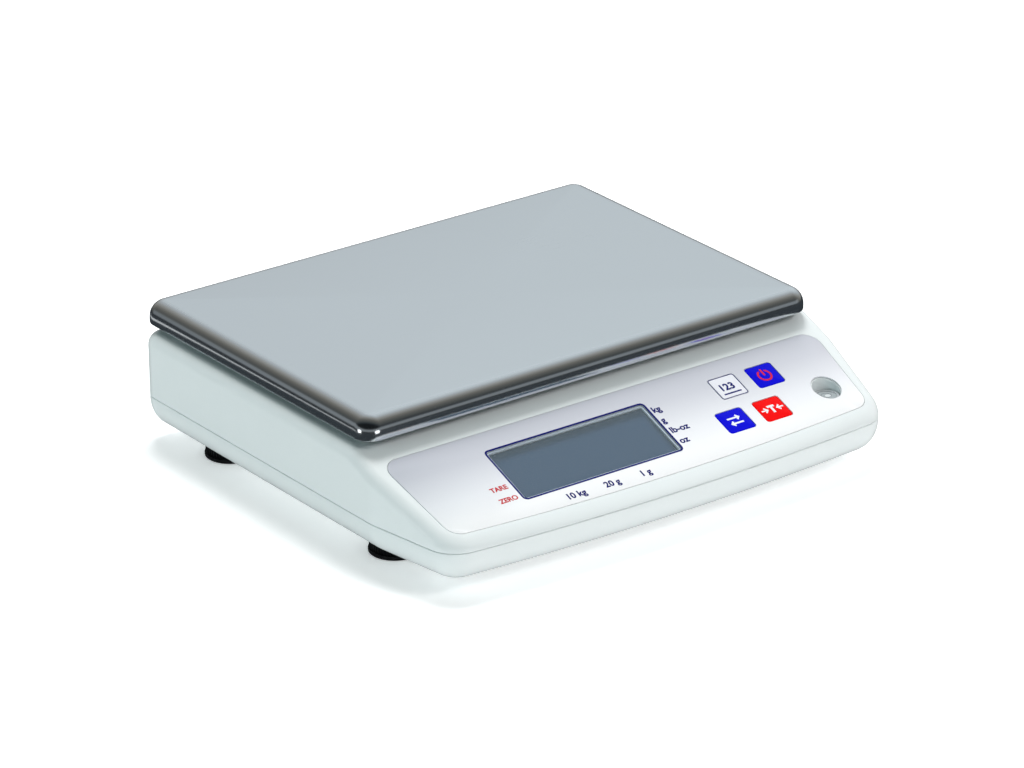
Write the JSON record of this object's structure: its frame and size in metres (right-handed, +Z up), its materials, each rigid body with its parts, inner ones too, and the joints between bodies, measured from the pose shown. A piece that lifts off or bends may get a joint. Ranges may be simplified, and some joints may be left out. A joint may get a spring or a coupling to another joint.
{
  "type": "bench scale",
  "caption": "Low electronic bench scale with a rectangular stainless pan, sloping control panel with display and keys, round level and levelling feet.",
  "frame": {"origin": "middle of the whole footprint, on the surface under the feet", "axes": "+X to the right of a person facing the control panel, +Y to the back, +Z up"},
  "size_m": [0.29, 0.272, 0.074],
  "materials": {
    "brushed_stainless": "fine brushed stainless sheet, polished by the press at its rolled edge",
    "cast_aluminium": "bead-blasted die casting",
    "milled_aluminium": "milled and clear anodised",
    "zinc_steel": "zinc plated",
    "brass": "turned and knurled",
    "white_abs": "glossy injection-moulded off-white ABS",
    "control_film": "printed polyester film, grey at its upper edge fading to white",
    "window_film": "clear unprinted polyester over the display",
    "lcd_glass": "unlit reflective liquid-crystal glass",
    "level_vial": "clear acrylic vial",
    "blue_key": "printed polyester key face, blue",
    "red_key": "printed polyester key face, red",
    "white_key": "printed polyester key face, white with a dark outline",
    "black_nylon": "moulded black nylon",
    "black_rubber": "moulded rubber",
    "circuit_board": "green solder mask",
    "black_plastic": "moulded",
    "battery_case": "moulded dark grey ABS",
    "red_cable": "PVC insulation",
    "grey_cable": "PVC insulation"
  },
  "bodies": {
    "root": {"top_cover": "white_abs", "base_tub": "white_abs", "control_film": "control_film", "display_window": "window_film", "lcd_glass": "lcd_glass", "lcd_holder": "white_abs", "display_board": "circuit_board", "display_screw_1": "zinc_steel", "display_screw_2": "zinc_steel", "switch_pieces": "black_plastic", "switch_power": "black_plastic", "switch_units": "black_plastic", "switch_tare": "black_plastic", "level_vial": "level_vial", "load_cell": "milled_aluminium", "cell_lower_spacer": "zinc_steel", "cell_upper_spacer": "zinc_steel", "cell_screw_lower_1": "zinc_steel", "cell_screw_lower_2": "zinc_steel", "overload_stop_screw": "zinc_steel", "case_screw_1": "zinc_steel", "case_screw_2": "zinc_steel", "case_screw_3": "zinc_steel", "case_screw_4": "zinc_steel", "foot_insert_front_left": "brass", "foot_insert_front_right": "brass", "foot_insert_rear_left": "brass", "foot_insert_rear_right": "brass", "main_board": "circuit_board", "main_board_screw_1": "zinc_steel", "main_board_screw_2": "zinc_steel", "battery": "battery_case", "battery_strap": "zinc_steel", "power_socket": "black_plastic", "power_socket_nut": "zinc_steel", "cell_cable": "grey_cable", "battery_lead": "red_cable", "socket_lead": "grey_cable", "display_ribbon": "grey_cable"},
    "carrier": {"pan_carrier": "cast_aluminium", "pan_bumper_front_left": "black_rubber", "pan_bumper_front_right": "black_rubber", "pan_bumper_rear_left": "black_rubber", "pan_bumper_rear_right": "black_rubber", "cell_screw_upper_1": "zinc_steel", "cell_screw_upper_2": "zinc_steel"},
    "pan": {"weighing_pan": "brushed_stainless"},
    "key_pieces": {"key_pieces": "white_key"},
    "key_power": {"key_power": "blue_key"},
    "key_units": {"key_units": "blue_key"},
    "key_tare": {"key_tare": "red_key"},
    "foot_pad_front_left": {"foot_pad_front_left": "black_rubber"},
    "foot_knob_front_left": {"foot_knob_front_left": "black_nylon"},
    "foot_pad_front_right": {"foot_pad_front_right": "black_rubber"},
    "foot_knob_front_right": {"foot_knob_front_right": "black_nylon"},
    "foot_pad_rear_left": {"foot_pad_rear_left": "black_rubber"},
    "foot_knob_rear_left": {"foot_knob_rear_left": "black_nylon"},
    "foot_pad_rear_right": {"foot_pad_rear_right": "black_rubber"},
    "foot_knob_rear_right": {"foot_knob_rear_right": "black_nylon"}
  },
  "joints": [
    {"name": "cell_deflection", "type": "slide", "parent": "root", "child": "carrier", "axis": [0, 0, 1], "range_m": [-0.0004, 0], "stiffness_N_per_m": 250000, "springref_m": 0.00003},
    {"name": "pan_lift_off", "type": "slide", "parent": "carrier", "child": "pan", "axis": [0, 0, 1], "range_m": [0, 0.06]},
    {"name": "press_pieces", "type": "slide", "parent": "root", "child": "key_pieces", "axis": [0, -0.3616, 0.9323], "range_m": [-0.0005, 0], "stiffness_N_per_m": 4000, "springref_m": 0.0001},
    {"name": "press_power", "type": "slide", "parent": "root", "child": "key_power", "axis": [0, -0.3616, 0.9323], "range_m": [-0.0005, 0], "stiffness_N_per_m": 4000, "springref_m": 0.0001},
    {"name": "press_units", "type": "slide", "parent": "root", "child": "key_units", "axis": [0, -0.3616, 0.9323], "range_m": [-0.0005, 0], "stiffness_N_per_m": 4000, "springref_m": 0.0001},
    {"name": "press_tare", "type": "slide", "parent": "root", "child": "key_tare", "axis": [0, -0.3616, 0.9323], "range_m": [-0.0005, 0], "stiffness_N_per_m": 4000, "springref_m": 0.0001},
    {"name": "foot_height_front_left", "type": "slide", "parent": "root", "child": "foot_pad_front_left", "axis": [0, 0, -1], "range_m": [0, 0.005]},
    {"name": "foot_turn_front_left", "type": "hinge", "parent": "foot_pad_front_left", "child": "foot_knob_front_left", "pos_m": [-0.122, -0.062, 0.005], "axis": [0, 0, -1], "range_deg": [0, 1440]},
    {"name": "foot_height_front_right", "type": "slide", "parent": "root", "child": "foot_pad_front_right", "axis": [0, 0, -1], "range_m": [0, 0.005]},
    {"name": "foot_turn_front_right", "type": "hinge", "parent": "foot_pad_front_right", "child": "foot_knob_front_right", "pos_m": [0.122, -0.062, 0.005], "axis": [0, 0, -1], "range_deg": [0, 1440]},
    {"name": "foot_height_rear_left", "type": "slide", "parent": "root", "child": "foot_pad_rear_left", "axis": [0, 0, -1], "range_m": [0, 0.005]},
    {"name": "foot_turn_rear_left", "type": "hinge", "parent": "foot_pad_rear_left", "child": "foot_knob_rear_left", "pos_m": [-0.122, 0.084, 0.005], "axis": [0, 0, -1], "range_deg": [0, 1440]},
    {"name": "foot_height_rear_right", "type": "slide", "parent": "root", "child": "foot_pad_rear_right", "axis": [0, 0, -1], "range_m": [0, 0.005]},
    {"name": "foot_turn_rear_right", "type": "hinge", "parent": "foot_pad_rear_right", "child": "foot_knob_rear_right", "pos_m": [0.122, 0.084, 0.005], "axis": [0, 0, -1], "range_deg": [0, 1440]}
  ],
  "couplings": [
    {"joint": "foot_height_front_left", "follows": "foot_turn_front_left", "m_per_rad": 0.0001989},
    {"joint": "foot_height_front_right", "follows": "foot_turn_front_right", "m_per_rad": 0.0001989},
    {"joint": "foot_height_rear_left", "follows": "foot_turn_rear_left", "m_per_rad": 0.0001989},
    {"joint": "foot_height_rear_right", "follows": "foot_turn_rear_right", "m_per_rad": 0.0001989}
  ]
}
